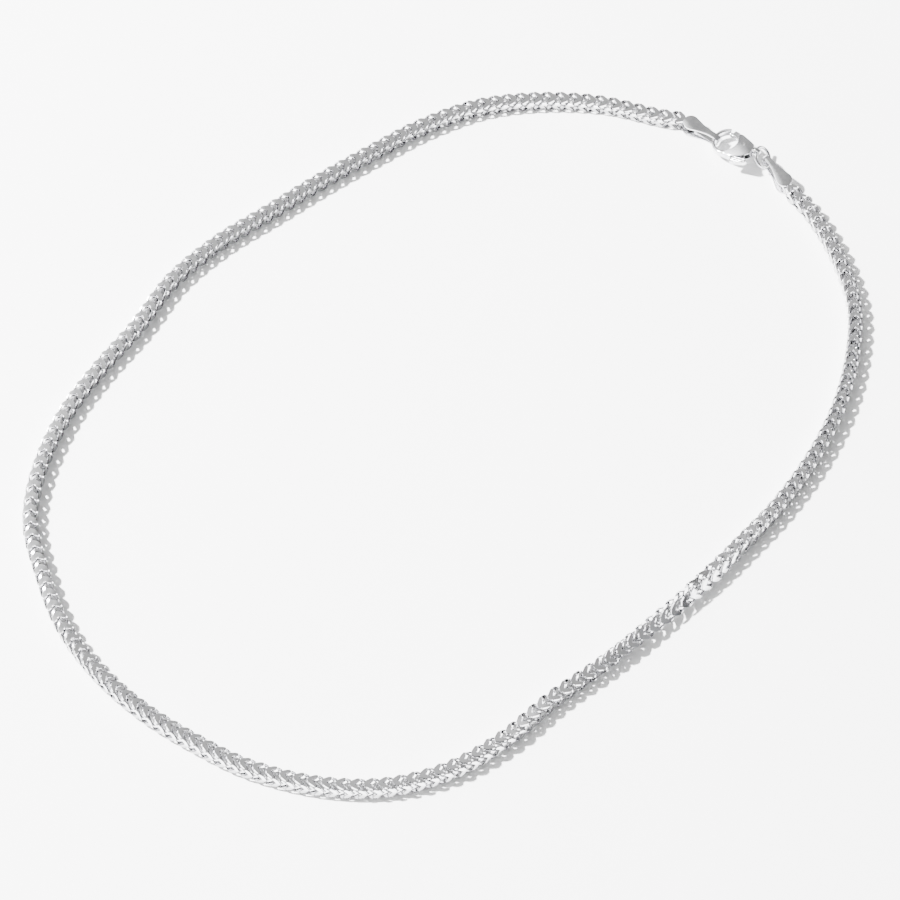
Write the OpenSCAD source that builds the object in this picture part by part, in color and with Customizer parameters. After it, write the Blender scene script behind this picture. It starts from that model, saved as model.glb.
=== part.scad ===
// A square franco necklace chain of polished silver, closed by a lobster clasp and lying flat in a long loop.
// Millimetres, +Z up. The origin is the bottom centre of the whole necklace's box.

/* [Chain] */
// Width of the square chain across its flats
chain_w = 3.2; // [3:0.1:3.3]
// Chamfer that stands for the scalloped corners of the links
chain_chamfer = 0.5; // [0.3:0.1:0.8]
// How far the chain turns about its own line on the near side
chain_roll = 90; // [0:15:90]

/* [End tags] */
// Height over both plates of a tag
tag_h = 3.2; // [3.1:0.1:3.3]
// Thickness of the folded strip
strip_t = 0.4; // [0.35:0.05:0.45]
// Radius of the round end of a plate
plate_r = 1.75; // [1.6:0.05:1.9]
// From the middle of the fold to the centre of the round end
plate_reach = 6; // [5.8:0.1:6.2]
// Width of the strip at its fold
neck_w = 1.3; // [1.1:0.1:1.3]

/* [Clasp] */
// Radius of the middle line of the hook's wire
hook_r = 3; // [2.95:0.05:3.05]
// Width of the hook's wire, seen from above
hook_w = 0.8; // [0.7:0.05:0.85]
// Height of the hook's wire
hook_h = 1.8; // [1.6:0.1:1.8]
// Thickness of the clasp at the top of its domed faces
clasp_h = 2.7; // [2.6:0.1:2.9]
// From the hook's centre to the eye at the tail
eye_reach = 6.95; // [6.9:0.05:7]
// Thickness of the lever
lever_h = 1.1; // [1:0.05:1.15]
// Diameter of the lever's pin
pin_d = 0.8; // [0.7:0.05:0.8]
// Play of the lever on its pin, on the radius
pin_play = 0.05; // [0.03:0.01:0.08]

/* [Jump ring] */
// Diameter of the ring to the middle of its wire
ring_d = 4.5; // [4.4:0.1:4.6]
// Diameter of the ring's wire
ring_wire = 0.7; // [0.6:0.05:0.7]

/* [Hidden] */
$fn = 48;

// Middle of the loop as drawn, which moves to the origin
loop_mid = [0.698, -0.191];

// Jump ring: it leans between the clasp's eye and the right tag
ring_at = [92.25, 4.7, 2.55];
ring_lean = 46;
ring_turn = -53.5;
ring_r = ring_d / 2;

// A point of the ring's middle line, with the angle taken from its level radius
function ring_point(angle) =
    let (level = [-sin(ring_turn), cos(ring_turn), 0])
    let (rise = [-cos(ring_lean) * cos(ring_turn), -cos(ring_lean) * sin(ring_turn), sin(ring_lean)])
    ring_at + ring_r * (cos(angle) * level + sin(angle) * rise);

// Clasp: its eye hangs on the ring at this angle, and its hook end is lower
eye_at = ring_point(90);
clasp_turn = -68.8;
clasp_pitch = 13.7;
clasp_axis = [cos(clasp_pitch) * cos(clasp_turn), cos(clasp_pitch) * sin(clasp_turn), sin(clasp_pitch)];
clasp_side = [-sin(clasp_turn), cos(clasp_turn), 0];
hook_at = eye_at - eye_reach * clasp_axis;
tip_angle = 97;
hook_sweep = 233;
hook_round = 0.35;
hole_r = hook_r - hook_w / 2;
rim_r = hook_r + hook_w / 2;
dome_r = 14;
dome_x = 3;
eye_r = 1.1;
eye_bore_r = 0.62;
eye_h = 0.8;
slot_play = 0.1;

// Lever: it turns on its pin inwards into the hook, driven by the thumb nub on the far side of the pin
pivot = [4.1, 0.3];
pin_h = 2.4;

// Left tag: its fold holds the hook's wire, and its plates hold the chain's first link
left_angle = 180;
left_turn = 106;
left_wire = hook_at + hook_r * (cos(left_angle) * clasp_axis + sin(left_angle) * clasp_side);
left_at = along(left_wire, left_turn, 0.2);

// Right tag: the ring runs through its fold
right_turn = -97.5;
right_at = along(ring_point(-108), right_turn, -0.25);

// Chain between the tags, with its first and last link between their plates
link_play = 0.1;
core_from = plate_reach - 0.7;
core_to = plate_reach + plate_r + 0.15;
core_scale = (tag_h - 2 * strip_t - 2 * link_play) / chain_w;
shoulder = 0.05;

function along(at, turn, reach) = [at.x + reach * cos(turn), at.y + reach * sin(turn)];

// The route over the table, chosen by hand
ROUTE = [
    [82, 27.5], [74.5, 38], [65, 47], [54, 54], [41.5, 58], [28.5, 60], [15.5, 61.5], [2.5, 62.5],
    [-10.5, 63.5], [-23.5, 62.5], [-36, 58.5], [-48.5, 55.5], [-60.5, 51.5], [-72, 45], [-81, 36.5],
    [-86.5, 25.5], [-90.5, 13.5], [-91.5, 1], [-90, -11.5], [-86.5, -23.5], [-81.5, -35.5],
    [-73.5, -47], [-63.5, -56], [-51.5, -61.5], [-38.5, -63.5], [-25.5, -63], [-12.5, -63.5],
    [0.5, -63.5], [13.5, -63], [26.5, -61.5], [39, -59.5], [51.5, -56], [63, -51], [73.5, -44],
    [82.5, -35], [88, -24], [91, -13]
];
PATH = concat(
    [along(left_at, left_turn, core_from), along(left_at, left_turn, core_to)],
    ROUTE,
    [along(right_at, right_turn, core_to), along(right_at, right_turn, core_from)]
);
steps = 2;
first_span = 1;
last_span = len(PATH) - 3;

// The chain leans a little toward the near side, then rolls the other way, each between two spans of the path
chain_lean = 16;
lean_from = 17.5;
lean_to = 20.5;
roll_from = 25.5;
roll_to = 32.5;

function limited(i) = min(max(i, 0), len(PATH) - 1);

// A smooth curve through the path's points, with t counted in spans
function spline(t) =
    let (i = min(floor(t), len(PATH) - 2))
    let (f = t - i)
    let (a = PATH[limited(i - 1)])
    let (b = PATH[i])
    let (c = PATH[i + 1])
    let (d = PATH[limited(i + 2)])
    0.5 * (2 * b + (c - a) * f + (2 * a - 5 * b + 4 * c - d) * pow(f, 2) + (3 * b - a - 3 * c + d) * pow(f, 3));

function heading(t) =
    let (d = spline(min(t + 0.01, len(PATH) - 1)) - spline(max(t - 0.01, 0)))
    atan2(d.y, d.x);

function eased(u) =
    let (v = min(max(u, 0), 1))
    v * v * (3 - 2 * v);

function roll(t) =
    chain_lean * eased((t - lean_from) / (lean_to - lean_from))
    - (chain_roll + chain_lean) * eased((t - roll_from) / (roll_to - roll_from));

// Octagon that the links fill, as [sideways, up]
SECTION = let (a = chain_w / 2) let (b = a - chain_chamfer) [
    [a, -b], [a, b], [b, a], [-b, a], [-a, b], [-a, -b], [-b, -a], [b, -a]
];

function turned(p, angle) = [p.x * cos(angle) - p.y * sin(angle), p.x * sin(angle) + p.y * cos(angle)];

// One ring of the chain's surface, whose lowest corner lies on the table
function ring_of(t, size) =
    let (at = spline(t))
    let (across = heading(t) - 90)
    let (full = [for (p = SECTION) turned(p, roll(t))])
    let (level = -min([for (p = full) p.y]))
    [for (p = full) [at.x + size * p.x * cos(across), at.y + size * p.x * sin(across), level + size * p.y]];

RINGS = concat(
    [ring_of(0, core_scale), ring_of(first_span, core_scale)],
    [for (k = [0 : steps * (last_span - first_span + 1)])
        ring_of(min(max(first_span + k / steps, first_span + shoulder), last_span + 1 - shoulder), 1)],
    [ring_of(last_span + 1, core_scale), ring_of(last_span + 2, core_scale)]
);

// Moves what is drawn at the loop's own place to the origin
module to_origin() {
    translate([-loop_mid.x, -loop_mid.y, 0]) children();
}

module at_clasp() {
    to_origin() translate(hook_at) rotate([0, -clasp_pitch, clasp_turn]) children();
}

// A square with rounded corners, centred
module rounded(w, h, r) {
    square([w - 2 * r, h], center = true);
    square([w, h - 2 * r], center = true);
    for (x = [-1, 1], y = [-1, 1]) {
        translate([x * (w / 2 - r), y * (h / 2 - r)]) circle(r = r, $fn = 24);
    }
}

module chain() {
    color([0.8, 0.8, 0.82])
    to_origin() {
        sides = len(SECTION);
        last = len(RINGS) - 1;
        polyhedron(
            points = [for (r = RINGS) for (p = r) p],
            faces = concat(
                [[for (s = [sides - 1 : -1 : 0]) s]],
                [for (k = [0 : last - 1], s = [0 : sides - 1])
                    [k * sides + s, k * sides + (s + 1) % sides, (k + 1) * sides + (s + 1) % sides, (k + 1) * sides + s]],
                [[for (s = [0 : sides - 1]) last * sides + s]]
            )
        );
    }
}

// Teardrop plate with its narrow end over the fold
module plate() {
    tangent = 68;
    linear_extrude(strip_t) {
        translate([plate_reach, 0]) circle(r = plate_r);
        polygon([
            [0, -neck_w / 2],
            [plate_reach / 3, -neck_w / 2 - 0.08],
            [plate_reach - plate_r * cos(tangent), -plate_r * sin(tangent)],
            [plate_reach - plate_r * cos(tangent), plate_r * sin(tangent)],
            [plate_reach / 3, neck_w / 2 + 0.08],
            [0, neck_w / 2]
        ]);
    }
}

// A strip folded in two, with the fold's middle at the origin and the plates along +X
module end_tag(at, turn) {
    color([0.78, 0.78, 0.8])
    to_origin() translate([at.x, at.y, 0]) rotate([0, 0, turn]) {
        plate();
        translate([0, 0, tag_h - strip_t]) plate();
        translate([0, 0, tag_h / 2]) rotate([90, 0, 0]) rotate([0, 0, 90]) rotate_extrude(angle = 180) {
            translate([tag_h / 2 - strip_t, -neck_w / 2]) square([strip_t, neck_w]);
        }
    }
}

module jump_ring() {
    color([0.76, 0.76, 0.78])
    to_origin() translate(ring_at) rotate([0, ring_lean, ring_turn]) rotate_extrude() {
        translate([ring_r, 0]) circle(d = ring_wire, $fn = 24);
    }
}

// Outline of the clasp behind its hook, from the hook's root round the tail to the shoulder of the gate
module clasp_outline() {
    polygon([
        [0.2, -rim_r], [1.9, -3.45], [3.5, -3.2], [4.9, -2.65], [6.1, -1.5], [6.3, -0.7], [6.3, 0.7],
        [6.1, 1.1], [3.8, 2.05], [2.9, 2.45], [rim_r * cos(48), rim_r * sin(48)], [hook_r * cos(48), hook_r * sin(48)],
        [0, -1]
    ]);
}

// The space in which the lever swings
module lever_slot() {
    linear_extrude(lever_h + 2 * slot_play, center = true) {
        polygon([
            [0.9, 0.9], [1.2, 3.8], [3.6, 3.4], [5.4, 1.9], [5.6, -0.4], [6.8, -2.4], [6.8, -5], [2.3, -5], [2.6, -0.8]
        ]);
    }
}

module clasp_body() {
    color([0.75, 0.75, 0.77])
    at_clasp() {
        difference() {
            union() {
                rotate([0, 0, tip_angle]) rotate_extrude(angle = hook_sweep) {
                    translate([hook_r, 0]) rounded(hook_w, hook_h, hook_round);
                }
                intersection() {
                    linear_extrude(clasp_h + 1, center = true) clasp_outline();
                    translate([dome_x, 0, clasp_h / 2 - dome_r]) sphere(r = dome_r, $fn = 96);
                    translate([dome_x, 0, dome_r - clasp_h / 2]) sphere(r = dome_r, $fn = 96);
                }
                translate([eye_reach, 0, 0]) rotate([90, 0, 0]) cylinder(r = eye_r, h = eye_h, center = true);
            }
            cylinder(r = hole_r, h = clasp_h + 2, center = true);
            lever_slot();
            translate([pivot.x, pivot.y, 0]) cylinder(r = pin_d / 2 + 0.02, h = clasp_h + 2, center = true);
            translate([eye_reach, 0, 0]) rotate([90, 0, 0]) cylinder(r = eye_bore_r, h = eye_h + 2, center = true);
        }
    }
}

module lever_outline() {
    difference() {
        polygon([
            [5.05, 0.7], [4.95, -0.2], [5.6, -2.4], [6.3, -3.3], [5.9, -3.9], [3, -4.6], [2.65, -4.35], [2.6, -3.75],
            [3.1, -2.9], [3.25, -0.3], [1.7, 1.45], [0.9, 1.85], [-0.45, 2], [-0.55, 2.4], [0.25, 2.5],
            [0.45, 3.25], [1.4, 3.05], [2.35, 2.7], [4.6, 1.2]
        ]);
        translate(pivot) circle(r = pin_d / 2 + pin_play);
    }
}

module clasp_lever() {
    color([0.82, 0.82, 0.84])
    at_clasp() linear_extrude(lever_h, center = true) lever_outline();
}

module lever_pin() {
    color([0.7, 0.7, 0.72])
    at_clasp() translate([pivot.x, pivot.y, 0]) cylinder(d = pin_d, h = pin_h, center = true);
}

chain();
end_tag(left_at, left_turn);  // end_tag_left
end_tag(right_at, right_turn);  // end_tag_right
jump_ring();
clasp_body();
clasp_lever();
lever_pin();
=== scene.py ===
import bisect
import math
from collections import namedtuple

import bmesh
import bpy
from mathutils import Matrix, Vector


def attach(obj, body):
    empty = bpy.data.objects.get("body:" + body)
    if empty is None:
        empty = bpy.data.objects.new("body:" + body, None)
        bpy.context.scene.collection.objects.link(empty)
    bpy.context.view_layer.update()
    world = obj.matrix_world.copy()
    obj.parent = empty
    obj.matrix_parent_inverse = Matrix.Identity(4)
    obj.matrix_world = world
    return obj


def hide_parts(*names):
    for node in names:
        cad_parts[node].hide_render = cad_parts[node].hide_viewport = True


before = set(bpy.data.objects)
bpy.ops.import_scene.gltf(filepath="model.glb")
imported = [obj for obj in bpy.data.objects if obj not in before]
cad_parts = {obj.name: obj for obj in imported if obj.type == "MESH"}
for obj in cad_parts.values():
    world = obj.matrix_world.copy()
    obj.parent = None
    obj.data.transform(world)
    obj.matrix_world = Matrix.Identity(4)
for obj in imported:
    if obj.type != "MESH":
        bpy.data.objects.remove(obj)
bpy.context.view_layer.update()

# Sizes are in millimetres until a piece is finished, and angles in degrees

# Metres in a millimetre
mm = 0.001

# Chain
chain_width = 3.2
chamfer = 0.5
links_between_tags = 168
chain_lean = 16
chain_roll = 90
lean_from, lean_to = 17.5, 20.5
roll_from, roll_to = 25.5, 32.5

# End tags
tag_height = 3.2
strip = 0.4
plate_radius = 1.75
plate_reach = 6.0
neck_width = 1.3

# Jump ring
ring_middle = Vector((92.25, 4.7, 2.55))
ring_lean = 46
ring_turn = -53.5
ring_radius = 2.25
ring_wire = 0.7
eye_on_ring = 90
tag_on_ring = -108

# Clasp
clasp_turn = -68.8
clasp_pitch = 13.7
eye_reach = 6.95
hook_radius = 3.0
pivot = (4.1, 0.3)
pin_radius = 0.4
pin_height = 2.4

# Middle of the loop as drawn, which moves to the origin
loop_middle = Vector((0.698, -0.191, 0))

# The chain's route over the floor
ROUTE = [
    (82, 27.5), (74.5, 38), (65, 47), (54, 54), (41.5, 58), (28.5, 60), (15.5, 61.5), (2.5, 62.5),
    (-10.5, 63.5), (-23.5, 62.5), (-36, 58.5), (-48.5, 55.5), (-60.5, 51.5), (-72, 45), (-81, 36.5),
    (-86.5, 25.5), (-90.5, 13.5), (-91.5, 1), (-90, -11.5), (-86.5, -23.5), (-81.5, -35.5),
    (-73.5, -47), (-63.5, -56), (-51.5, -61.5), (-38.5, -63.5), (-25.5, -63), (-12.5, -63.5),
    (0.5, -63.5), (13.5, -63), (26.5, -61.5), (39, -59.5), (51.5, -56), (63, -51), (73.5, -44),
    (82.5, -35), (88, -24), (91, -13)
]


# Places shared by the clasp, the ring and the tags

def direction(turn, rise=0):
    """A vector of length one that turns from +X and rises from level by these angles."""
    turn, rise = math.radians(turn), math.radians(rise)
    return Vector((math.cos(rise) * math.cos(turn), math.cos(rise) * math.sin(turn), math.sin(rise)))


def placed(at, *axes):
    """A place with its origin here and its own three axes along these vectors."""
    return Matrix.Translation(at) @ Matrix(axes).transposed().to_4x4()


def along(at, turn, reach):
    """The point on the floor that lies this far, in this direction, from the foot of another."""
    return Vector((at.x, at.y, 0)) + reach * direction(turn)


ring_level = direction(ring_turn + 90)
ring_rise = direction(ring_turn + 180, ring_lean)


def ring_point(degrees):
    """A point of the ring's middle line, with the angle taken from its level radius."""
    angle = math.radians(degrees)
    return ring_middle + ring_radius * (math.cos(angle) * ring_level + math.sin(angle) * ring_rise)


clasp_along = direction(clasp_turn, clasp_pitch)
clasp_side = direction(clasp_turn + 90)
clasp_up = clasp_along.cross(clasp_side)
hook_middle = ring_point(eye_on_ring) - eye_reach * clasp_along
clasp_place = placed(hook_middle - loop_middle, clasp_along, clasp_side, clasp_up)

# The left tag's fold holds the hook and the right one's the ring, each a little off the wire's middle
left_turn, right_turn = 106, -97.5
left_seat, right_seat = 0.2, -0.25
left_fold = along(hook_middle - hook_radius * clasp_along, left_turn, left_seat)
right_fold = along(ring_point(tag_on_ring), right_turn, right_seat)


# The chain's line, with t counted in spans of the path

# The path's first and last span run from this far short of the plates' centres to this far past their ends
tucked, past_plates = 0.7, 0.15
core_from, core_to = plate_reach - tucked, plate_reach + plate_radius + past_plates
path = [along(left_fold, left_turn, core_from), along(left_fold, left_turn, core_to)]
path += [Vector((x, y, 0)) for x, y in ROUTE]
path += [along(right_fold, right_turn, core_to), along(right_fold, right_turn, core_from)]
spans = len(path) - 1


def point_on_chain(t):
    """A smooth curve through the path's points."""
    i = min(int(t), spans - 1)
    f = t - i
    a, b, c, d = (path[min(max(k, 0), spans)] for k in (i - 1, i, i + 1, i + 2))
    slope, bend, twist = c - a, 2 * a - 5 * b + 4 * c - d, 3 * b - a - 3 * c + d
    return 0.5 * (2 * b + slope * f + bend * f ** 2 + twist * f ** 3)


def eased(u):
    u = min(max(u, 0), 1)
    return u * u * (3 - 2 * u)


def roll_of_chain(t):
    """The chain leans a little toward the near side, then rolls the other way."""
    lean = chain_lean * eased((t - lean_from) / (lean_to - lean_from))
    return lean - (chain_roll + chain_lean) * eased((t - roll_from) / (roll_to - roll_from))


def chain_place(t):
    """Ahead, left and up of the chain at t, on its middle line at its height over the floor."""
    near = 0.01
    ahead = (point_on_chain(min(t + near, spans)) - point_on_chain(max(t - near, 0))).normalized()
    right = Vector((ahead.y, -ahead.x, 0))
    upright = Vector((0, 0, 1))
    roll = math.radians(roll_of_chain(t))
    left = -math.cos(roll) * right - math.sin(roll) * upright
    up = -math.sin(roll) * right + math.cos(roll) * upright
    outer, inner = chain_width / 2, chain_width / 2 - chamfer
    height = max(
        outer * abs(math.sin(roll)) + inner * abs(math.cos(roll)),
        inner * abs(math.sin(roll)) + outer * abs(math.cos(roll)),
    )
    return placed(point_on_chain(t) - loop_middle + height * upright, ahead, left, up)


samples = 8000
length_so_far = [0.0]
for k in range(samples):
    step = point_on_chain((k + 1) * spans / samples) - point_on_chain(k * spans / samples)
    length_so_far.append(length_so_far[-1] + step.length)


def span_at(length):
    """The place t on the path that lies this far along the chain."""
    k = min(max(bisect.bisect_left(length_so_far, length), 1), samples)
    before, after = length_so_far[k - 1], length_so_far[k]
    return (k - 1 + (length - before) / (after - before)) * spans / samples


def length_at(t):
    """How far along the chain the place t lies."""
    sample = t * samples / spans
    k = min(int(sample), samples - 1)
    before, after = length_so_far[k], length_so_far[k + 1]
    return before + (sample - k) * (after - before)


# Making and finishing pieces

# Points nearer to each other than this are merged, and those as near to a fold's line lie on it
weld = 0.002


def verts_in(made):
    return [v for v in made["geom"] if isinstance(v, bmesh.types.BMVert)]


def rounded_edges(bm, steeper_than, size, segments):
    """Rounds the edges that turn by more than this many degrees."""
    edges = [
        e for e in bm.edges
        if len(e.link_faces) == 2 and e.calc_face_angle() > math.radians(steeper_than)
    ]
    bmesh.ops.bevel(
        bm, geom=edges, offset=size, affect="EDGES", segments=segments, profile=0.5, material=-1,
        clamp_overlap=True,
    )


def merged(bm):
    """Merges double points and turns the faces outwards."""
    bmesh.ops.remove_doubles(bm, verts=bm.verts, dist=weld)
    bmesh.ops.recalc_face_normals(bm, faces=bm.faces)


def mesh_of(bm, name):
    mesh = bpy.data.meshes.new(name)
    bm.to_mesh(mesh)
    bm.free()
    return mesh


def added(name, data):
    thing = bpy.data.objects.new(name, data)
    bpy.context.scene.collection.objects.link(thing)
    return thing


def finished(bm, name, body, finish, replaced=None, sharp=35):
    """Turns millimetres into metres and hands the piece over."""
    bmesh.ops.scale(bm, vec=(mm, mm, mm), verts=bm.verts)
    mesh = mesh_of(bm, name)
    mesh.polygons.foreach_set("use_smooth", [True] * len(mesh.polygons))
    mesh.set_sharp_from_angle(angle=math.radians(sharp))
    mesh.materials.append(finish)
    piece = added(name, mesh)
    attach(piece, body)
    if replaced:
        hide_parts(replaced)
    return piece


# Finishes

def grey(shade):
    return (shade, shade, shade)


class Value:
    """A shader value that can be used in an expression."""

    def __init__(self, nodes, socket):
        self.nodes, self.socket = nodes, socket

    def maths(self, operation, other):
        return self.nodes.node("Math", {"operation": operation}, {0: self, 1: other})

    def __add__(self, other):
        return self.maths("ADD", other)

    def __mul__(self, other):
        return self.maths("MULTIPLY", other)

    __radd__ = __add__
    __rmul__ = __mul__


class Nodes:
    """The nodes of a finish or of the sky."""

    def __init__(self, tree):
        self.tree = tree

    def feed(self, socket, value):
        if isinstance(value, Value):
            self.tree.links.new(value.socket, socket)
        else:
            socket.default_value = value

    def node(self, kind, settings, sockets, outlet=0):
        made = self.tree.nodes.new("ShaderNode" + kind)
        for name, value in settings.items():
            if name == "stops":
                ramp = made.color_ramp.elements
                while len(ramp) < len(value):
                    ramp.new(1.0)
                for element, (place, colour) in zip(ramp, value):
                    element.position, element.color = place, (*colour, 1)
            else:
                setattr(made, name, value)
        for name, value in sockets.items():
            self.feed(made.inputs[name], value)
        return Value(self, made.outputs[outlet])


class Finish(Nodes):
    """A procedural finish, made from one shader and the nodes that feed it."""

    # Where a Mix node keeps its share, its two colours and the mixed colour
    mix_share, mix_first, mix_second, mix_result = 0, 6, 7, 2

    def __init__(self, name, **constants):
        self.material = bpy.data.materials.new(name)
        self.material.use_nodes = True
        super().__init__(self.material.node_tree)
        self.tree.nodes.clear()
        self.shader = self.tree.nodes.new("ShaderNodeBsdfPrincipled")
        surface = self.tree.nodes.new("ShaderNodeOutputMaterial")
        self.tree.links.new(self.shader.outputs[0], surface.inputs[0])
        self.set(**constants)

    def set(self, **sockets):
        for name, value in sockets.items():
            self.feed(self.shader.inputs[name.replace("_", " ").title()], value)

    def place(self, stretch):
        spot = self.node("TexCoord", {}, {}, "Object")
        return self.node("Mapping", {}, {"Vector": spot, "Scale": stretch})

    def height(self, top):
        """Height over the floor, as a share of this many millimetres."""
        return self.node("SeparateXYZ", {}, {0: self.place((1, 1, 1))}, "Z") * (1 / (top * mm))

    def noise(self, size, detail, stretch=(1, 1, 1)):
        """Noise from 0 to 1 whose lumps are about this many millimetres."""
        spot = self.place(stretch)
        return self.node("TexNoise", {}, {"Vector": spot, "Scale": 1 / (size * mm), "Detail": detail})

    def ramp(self, value, *stops):
        """A mask that follows these stops of (place, shade)."""
        stops = [(place, grey(shade)) for place, shade in stops]
        return self.node("ValToRGB", {"stops": stops}, {"Fac": value})

    def mixed(self, share, first, second):
        sockets = {self.mix_share: share, self.mix_first: first, self.mix_second: second}
        return self.node("Mix", {"data_type": "RGBA"}, sockets, self.mix_result)

    def bumped(self, height, depth):
        return self.node("Bump", {}, {"Height": height, "Distance": depth * mm, "Strength": 1.0})


# Heights over the floor between which the links and their wires turn from painted shade to their own colour
shade_full_below, shade_gone_above = 1.76, 2.56


def silver(name, bright, dark, smooth, rough, dents, painted_gap_shade=None):
    """Polished silver with faint clouds, a few rubbed patches and a slightly uneven surface.

    Its last argument, if given, is painted shade: the colour that it darkens to beneath the chain's upper
    side, where shade falls in the deep gaps between the links.
    """
    finish = Finish(name, metallic=1.0)
    clouds = finish.ramp(finish.noise(size=1.6, detail=3), (0.35, 0.0), (0.7, 1.0))
    rubbed = finish.ramp(finish.noise(size=0.35, detail=4, stretch=(1, 2.5, 1)), (0.45, 0.0), (0.75, 1.0))
    colour = finish.mixed(clouds, (*bright, 1), (*dark, 1))
    # Painted shade: darker towards the floor, beneath the chain's upper side
    if painted_gap_shade:
        top = 4
        out_of_shade = finish.ramp(finish.height(top), (shade_full_below / top, 0.0), (shade_gone_above / top, 1.0))
        colour = finish.mixed(out_of_shade, (*painted_gap_shade, 1), colour)
    finish.set(
        base_color=colour,
        roughness=smooth + (rough - smooth) * (0.6 * rubbed + 0.4 * clouds),
        normal=finish.bumped(finish.noise(size=0.9, detail=2), dents),
    )
    return finish.material


# The links and the inner wires darken towards the floor to painted shade, in the gaps beneath the chain's
# upper side
link_silver = silver(
    "link_silver", bright=(0.93, 0.93, 0.94), dark=(0.84, 0.84, 0.86), painted_gap_shade=(0.47, 0.47, 0.48),
    smooth=0.06, rough=0.14, dents=0.006,
)
# The inner wires' clouds vary at random, but their dark tone is set low as painted shade, since these wires
# lie deep between the links
wire_silver = silver(
    "wire_silver", bright=(0.94, 0.94, 0.95), dark=(0.60, 0.60, 0.62), painted_gap_shade=(0.80, 0.80, 0.82),
    smooth=0.10, rough=0.28, dents=0.016,
)
plate_silver = silver(
    "plate_silver", bright=(0.84, 0.84, 0.85), dark=(0.68, 0.68, 0.70),
    smooth=0.09, rough=0.20, dents=0.012,
)
cast_silver = silver(
    "cast_silver", bright=(0.76, 0.76, 0.77), dark=(0.56, 0.56, 0.58),
    smooth=0.07, rough=0.18, dents=0.006,
)
ring_silver = silver(
    "ring_silver", bright=(0.74, 0.74, 0.75), dark=(0.54, 0.54, 0.56),
    smooth=0.06, rough=0.14, dents=0.006,
)


# Chain

# Where a link's band or wire is, which way it faces, and its width and depth as shares of its section
Bend = namedtuple("Bend", "ahead left up faces_left faces_up width depth")

# A quarter of a link, from the point of its V on top to the tip of its arch on the left
BAND_QUARTER = [
    Bend(0.00, 0.00, 1.30, 0.00, 1.00, 1.44, 0.5),
    Bend(0.32, 0.47, 1.30, 0.00, 1.00, 1.32, 0.5),
    Bend(1.02, 1.02, 1.30, 0.00, 1.00, 0.98, 0.5),
    Bend(1.38, 1.28, 1.28, 0.20, 0.98, 0.54, 0.5),
    Bend(1.50, 1.42, 1.06, 0.98, 0.20, 0.60, 0.4),
    Bend(2.20, 1.36, 0.64, 1.00, 0.00, 1.06, 0.4),
    Bend(2.72, 1.36, 0.00, 1.00, 0.00, 1.28, 0.4),
]
INNER_QUARTER = [
    Bend(1.40, 0.00, 0.92, 0.00, 1.00, 1.1, 1.0),
    Bend(2.20, 0.66, 0.88, 0.10, 1.00, 0.9, 1.0),
    Bend(3.20, 0.86, 0.56, 0.90, 0.40, 0.8, 1.0),
    Bend(4.00, 0.80, 0.00, 1.00, 0.00, 1.2, 1.0),
]

# Sections as (across, outward)
BAND = [(-0.37, 0.42), (0.37, 0.42), (0.48, -0.20), (-0.48, -0.20)]
WIRE = [(-0.24, 0.26), (0.24, 0.26), (0.34, -0.10), (-0.34, -0.10)]

# The small link between a tag's plates, as shares of a full one ahead, to the left and up
small_link = (0.86, 0.68, 0.68)
# How far the first of them lies from the start of the path
small_link_at = 0.2


def link(quarter, section):
    """A ring bent like a saddle, whose section is carried round through its four quarters."""
    half = [(1, bend) for bend in quarter] + [(-1, bend) for bend in reversed(quarter[1:-1])]
    stations = [(1, rise, bend) for rise, bend in half] + [(-1, -rise, bend) for rise, bend in half]
    points = [Vector((bend.ahead, side * bend.left, rise * bend.up)) for side, rise, bend in stations]
    places = []
    for k, (side, rise, bend) in enumerate(stations):
        onward = (points[(k + 1) % len(points)] - points[k]).normalized()
        arriving = (points[k] - points[k - 1]).normalized()
        ahead = (onward + arriving).normalized()
        across = ahead.cross(Vector((0, side * bend.faces_left, rise * bend.faces_up))).normalized()
        outward = across.cross(ahead).normalized()
        places.append(placed(points[k], across * bend.width, outward * bend.depth, ahead))

    bm = bmesh.new()
    verts = [bm.verts.new((across, outward, 0)) for across, outward in section]
    edges = [bm.edges.new((verts[i - 1], verts[i])) for i in range(len(verts))]
    bmesh.ops.transform(bm, matrix=places[0], verts=verts)
    for before, after in zip(places, places[1:] + places[:1]):
        made = bmesh.ops.extrude_edge_only(bm, edges=edges)
        verts = verts_in(made)
        edges = [e for e in made["geom"] if isinstance(e, bmesh.types.BMEdge) and set(e.verts) <= set(verts)]
        bmesh.ops.transform(bm, matrix=after @ before.inverted(), verts=verts)
    merged(bm)
    return mesh_of(bm, "link")


def chain_of(template, name, finish, replaced=None, sharp=35):
    """Copies of a link all along the chain, and one more between the plates of each tag."""
    start, stop = length_at(1), length_at(spans - 1)
    pitch = (stop - start) / links_between_tags
    smaller = Matrix.Diagonal((*small_link, 1))
    places = [chain_place(span_at(start + k * pitch)) for k in range(links_between_tags)]
    places += [chain_place(span_at(length)) @ smaller for length in (small_link_at, stop)]
    bm = bmesh.new()
    for place in places:
        copy = template.copy()
        copy.transform(place)
        bm.from_mesh(copy)
        bpy.data.meshes.remove(copy)
    finished(bm, name, "necklace", finish, replaced, sharp)


chain_of(link(BAND_QUARTER, BAND), "links", link_silver, replaced="chain", sharp=12)
chain_of(link(INNER_QUARTER, WIRE), "inner_wires", wire_silver)


# End tags

# Half of a plate's outline, as (along the strip, out from its middle), with an arc for its round end
arc_from, arc_step = 112, 14
HALF_PLATE = [
    (0, neck_width / 2), (0.9, 0.66), (1.8, 0.71), (2.7, 0.86), (3.5, 1.07), (4.3, 1.31), (4.85, 1.47)
]
HALF_PLATE += [
    (plate_reach + plate_radius * math.cos(math.radians(a)), plate_radius * math.sin(math.radians(a)))
    for a in range(arc_from, 0, -arc_step)
]
tag_edge = 0.09
fold_steps = 14


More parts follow.
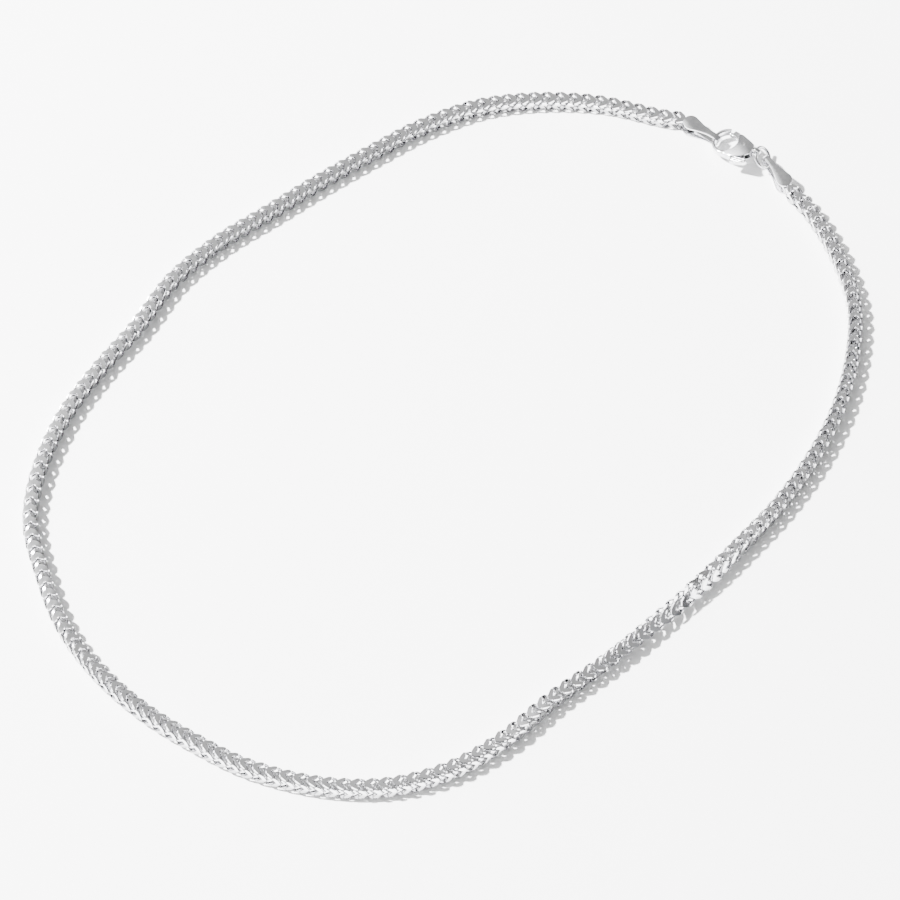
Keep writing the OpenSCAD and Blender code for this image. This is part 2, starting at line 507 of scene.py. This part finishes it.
def end_tag(node, fold, turn):
    """A strip folded in two, with a teardrop plate at each end."""
    bm = bmesh.new()
    rim = HALF_PLATE + [(plate_reach + plate_radius, 0)] + [(x, -y) for x, y in reversed(HALF_PLATE)]
    plate = bm.faces.new([bm.verts.new((x, y, 0)) for x, y in rim])
    raised = bmesh.ops.extrude_face_region(bm, geom=[plate])
    bmesh.ops.translate(bm, vec=(0, 0, strip), verts=verts_in(raised))
    ends = [f for f in bm.faces if all(abs(v.co.x) < weld for v in f.verts)]
    bmesh.ops.delete(bm, geom=ends, context="FACES_ONLY")
    upper = verts_in(bmesh.ops.duplicate(bm, geom=bm.verts[:] + bm.edges[:] + bm.faces[:]))
    bmesh.ops.scale(bm, vec=(1, 1, -1), verts=upper)
    bmesh.ops.translate(bm, vec=(0, 0, tag_height), verts=upper)
    mouth = [v for v in bm.verts if abs(v.co.x) < weld and v.co.z < tag_height / 2]
    lips = [e for e in bm.edges if e.verts[0] in mouth and e.verts[1] in mouth]
    bmesh.ops.spin(
        bm, geom=mouth + lips, cent=(0, 0, tag_height / 2), axis=(0, 1, 0), angle=math.pi, steps=fold_steps,
        use_merge=False, use_duplicate=False,
    )
    merged(bm)
    rounded_edges(bm, steeper_than=40, size=tag_edge, segments=2)
    place = Matrix.Translation(fold - loop_middle) @ Matrix.Rotation(math.radians(turn), 4, "Z")
    bmesh.ops.transform(bm, matrix=place, verts=bm.verts)
    finished(bm, node + "_strip", "necklace", plate_silver, node, sharp=25)


end_tag("end_tag_left", left_fold, left_turn)
end_tag("end_tag_right", right_fold, right_turn)


# Jump ring

bm = bmesh.new()
wire = bmesh.ops.create_circle(bm, segments=16, radius=ring_wire / 2)["verts"]
bmesh.ops.rotate(bm, cent=(0, 0, 0), matrix=Matrix.Rotation(math.pi / 2, 3, "X"), verts=wire)
bmesh.ops.translate(bm, vec=(ring_radius, 0, 0), verts=wire)
bmesh.ops.spin(
    bm, geom=bm.verts[:] + bm.edges[:], cent=(0, 0, 0), axis=(0, 0, 1), angle=2 * math.pi, steps=72,
    use_merge=True, use_duplicate=False,
)
merged(bm)
ring_place = placed(ring_middle - loop_middle, -ring_rise, ring_level, (-ring_rise).cross(ring_level))
bmesh.ops.transform(bm, matrix=ring_place, verts=bm.verts)
finished(bm, "round_ring", "necklace", ring_silver, "jump_ring", sharp=60)


# Pin

bm = bmesh.new()
bmesh.ops.create_cone(
    bm, cap_ends=True, segments=32, radius1=pin_radius, radius2=pin_radius, depth=pin_height)
rounded_edges(bm, steeper_than=60, size=0.1, segments=3)
bmesh.ops.transform(bm, matrix=clasp_place @ Matrix.Translation((*pivot, 0)), verts=bm.verts)
finished(bm, "rivet", "necklace", ring_silver, "lever_pin", sharp=50)


# Clasp: castings whose edges are tumbled smooth

Rod = namedtuple("Rod", "start stop radius")

# The pin's heads fill its holes, from inside the clasp to just past its faces
head_from, head_to, head_radius = 0.75, 1.31, 0.47
pin_heads = [Rod((*pivot, head_from * side), (*pivot, head_to * side), head_radius) for side in (1, -1)]

# Three ribs run over the thumb tab, each between two points of (along the clasp, across it)
RIB_LINES = [((3.0, -3.1), (5.9, -3.0)), ((3.0, -3.55), (6.0, -3.45)), ((3.0, -4.0), (5.6, -3.9))]
rib_height, rib_radius = 0.5, 0.13
ribs = [Rod((*start, rib_height), (*stop, rib_height), rib_radius) for start, stop in RIB_LINES]


def tumbled(node, name, body, grain, passes, rods):
    """A copy of a CAD solid and its rods, remeshed in fine cells and smoothed until its edges are round."""
    bm = bmesh.new()
    bm.from_mesh(bpy.data.objects[node].data)
    bmesh.ops.remove_doubles(bm, verts=bm.verts, dist=weld * mm)
    bmesh.ops.scale(bm, vec=(1 / mm, 1 / mm, 1 / mm), verts=bm.verts)
    for rod in rods:
        start, stop = Vector(rod.start), Vector(rod.stop)
        line = stop - start
        turned = line.to_track_quat("Z", "Y").to_matrix().to_4x4()
        made = bmesh.ops.create_cone(
            bm, cap_ends=True, segments=12, radius1=rod.radius, radius2=rod.radius, depth=line.length)
        place = clasp_place @ Matrix.Translation((start + stop) / 2) @ turned
        bmesh.ops.transform(bm, matrix=place, verts=made["verts"])
    piece = finished(bm, name, body, cast_silver, node)
    cells = piece.modifiers.new("cells", "REMESH")
    cells.mode, cells.voxel_size, cells.use_smooth_shade = "VOXEL", grain * mm, True
    soft = piece.modifiers.new("soft", "SMOOTH")
    soft.factor, soft.iterations = 0.5, passes
    fine = bpy.data.meshes.new_from_object(piece.evaluated_get(bpy.context.evaluated_depsgraph_get()))
    piece.modifiers.clear()
    piece.data = fine
    fine.name = name


tumbled("clasp_body", "cast_body", "necklace", grain=0.07, passes=10, rods=pin_heads)
tumbled("clasp_lever", "cast_lever", "lever", grain=0.06, passes=8, rods=ribs)


# Floor, in metres

floor_half = 3

bm = bmesh.new()
bmesh.ops.create_grid(bm, x_segments=1, y_segments=1, size=floor_half)
floor = added("floor", mesh_of(bm, "floor"))
pale = Finish("pale_floor", base_color=(0.9, 0.9, 0.9, 1), roughness=0.9)
floor.data.materials.append(pale.material)


# Camera

view_turn, view_down = 50, 62
view_angle = 12
view_distance = 888
look_at = Vector((-4.678, -5.439, 0))
sensor = 36

view = direction(view_turn, -view_down)
camera_data = bpy.data.cameras.new("camera")
camera_data.sensor_width = sensor
camera_data.lens = sensor / 2 / math.tan(math.radians(view_angle / 2))
camera_data.clip_start = 10 * mm
camera = added("camera", camera_data)
camera.location = (look_at - view_distance * view) * mm
camera.rotation_euler = view.to_track_quat("-Z", "Y").to_euler()
bpy.context.scene.camera = camera


# Key light and sky, in metres and watts

toward_key = Vector((-0.36, 0.56, 0.74)).normalized()
key_distance = 1.6
key_size = 0.09
key_power = 265

key_data = bpy.data.lights.new("key", "AREA")
key_data.size, key_data.energy = key_size, key_power
key = added("key", key_data)
key.location = toward_key * key_distance
key.rotation_euler = (-toward_key).to_track_quat("-Z", "Y").to_euler()

# The sky's colour, from a right angle to the key light's direction to right behind the light
SKY_GLOW = [
    (0.00, (0.28, 0.28, 0.29)), (0.40, grey(0.34)), (0.62, grey(0.44)),
    (0.77, grey(0.46)), (0.85, grey(1.30)), (1.00, grey(4.0)),
]
# The share of that colour that stays, by height from level to overhead
SKY_BANDS = [
    (0.00, grey(0.36)), (0.15, grey(0.42)), (0.30, grey(0.90)), (0.55, grey(1.05)), (1.00, grey(0.72)),
]
sky_strength = 1.6

sky = bpy.data.worlds.new("sky")
sky.use_nodes = True
air = Nodes(sky.node_tree)
towards = air.node("TexCoord", {}, {}, "Generated")
near_key = air.node("VectorMath", {"operation": "DOT_PRODUCT"}, {0: towards, 1: toward_key}, "Value")
glow = air.node("ValToRGB", {"stops": SKY_GLOW}, {"Fac": near_key})
height = air.node("SeparateXYZ", {}, {0: towards}, "Z")
band = air.node("ValToRGB", {"stops": SKY_BANDS}, {"Fac": height})
light = air.node("VectorMath", {"operation": "MULTIPLY"}, {0: glow, 1: band}, "Vector")
background = sky.node_tree.nodes["Background"].inputs
air.feed(background["Color"], light)
air.feed(background["Strength"], sky_strength)
bpy.context.scene.world = sky
